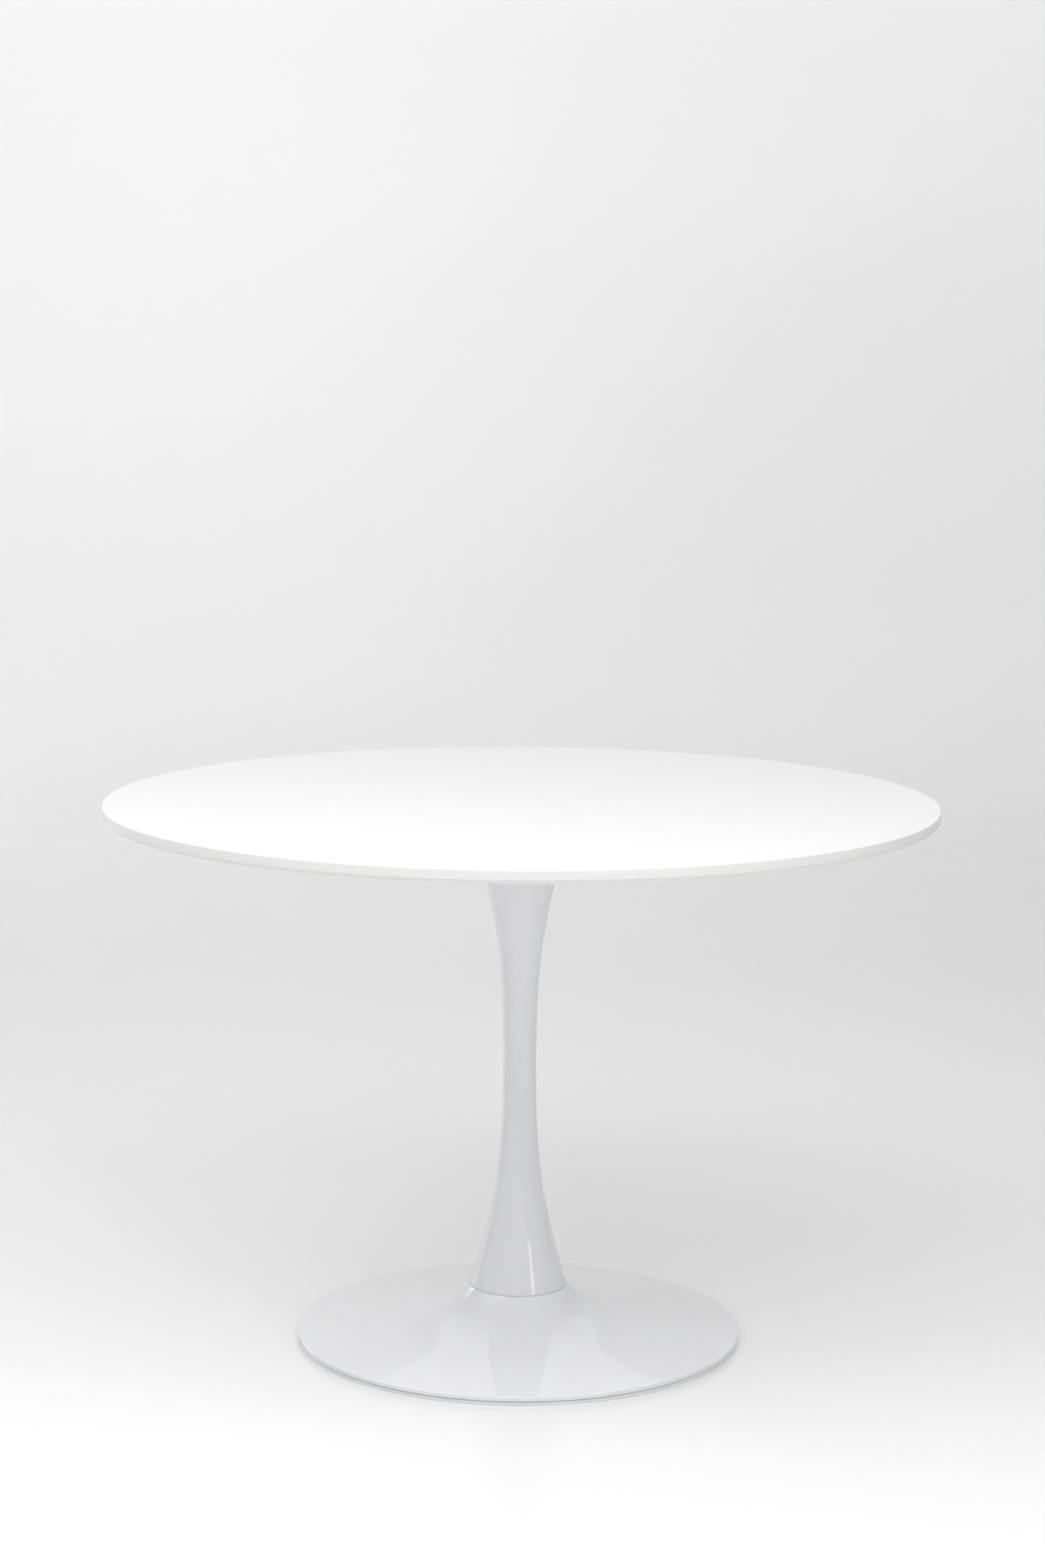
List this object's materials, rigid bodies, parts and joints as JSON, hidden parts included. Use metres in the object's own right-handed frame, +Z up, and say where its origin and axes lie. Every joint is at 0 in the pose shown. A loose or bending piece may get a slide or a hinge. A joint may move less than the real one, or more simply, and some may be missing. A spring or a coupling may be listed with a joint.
{
  "type": "round pedestal table",
  "caption": "Round dining table with a thin white top on an hourglass column and a flat spun-steel disc base.",
  "frame": {"origin": "on the floor, on the axis of the column", "axes": "+Z up along the column, +X along the long bar of the support cross"},
  "size_m": [1.0998, 1.1, 0.728],
  "materials": {
    "top_lacquer": "satin white lacquer on fibreboard",
    "base_lacquer": "gloss white lacquer on spun steel",
    "bar_coating": "fine textured white powder coating",
    "plate_coating": "matt black powder coating",
    "raw_steel": "mill finish, oiled",
    "zinc_steel": "bright zinc plating",
    "brass": "turned",
    "cap_plastic": "moulded, matt",
    "ring_plastic": "soft, slightly cloudy"
  },
  "bodies": {
    "root": {"tabletop": "top_lacquer", "threaded_inserts": "brass", "top_screws": "zinc_steel", "top_screw_washers": "zinc_steel", "long_bar": "bar_coating", "short_bars": "bar_coating", "bar_end_caps": "cap_plastic", "support_plate": "bar_coating", "support_plate_screws": "zinc_steel", "support_plate_washers": "zinc_steel", "column_lower": "base_lacquer", "column_upper": "base_lacquer", "column_top_disc": "raw_steel", "column_foot_disc": "raw_steel", "rod_anchor_nut": "raw_steel", "tie_rod": "zinc_steel", "clamp_washer": "zinc_steel", "clamp_spring_washer": "zinc_steel", "clamp_nut": "zinc_steel", "locating_pins": "zinc_steel", "base_shell": "base_lacquer", "hub_disc": "raw_steel", "hub_tube": "raw_steel", "bottom_plate": "plate_coating", "access_cap": "cap_plastic", "edge_ring": "ring_plastic"}
  },
  "joints": []
}
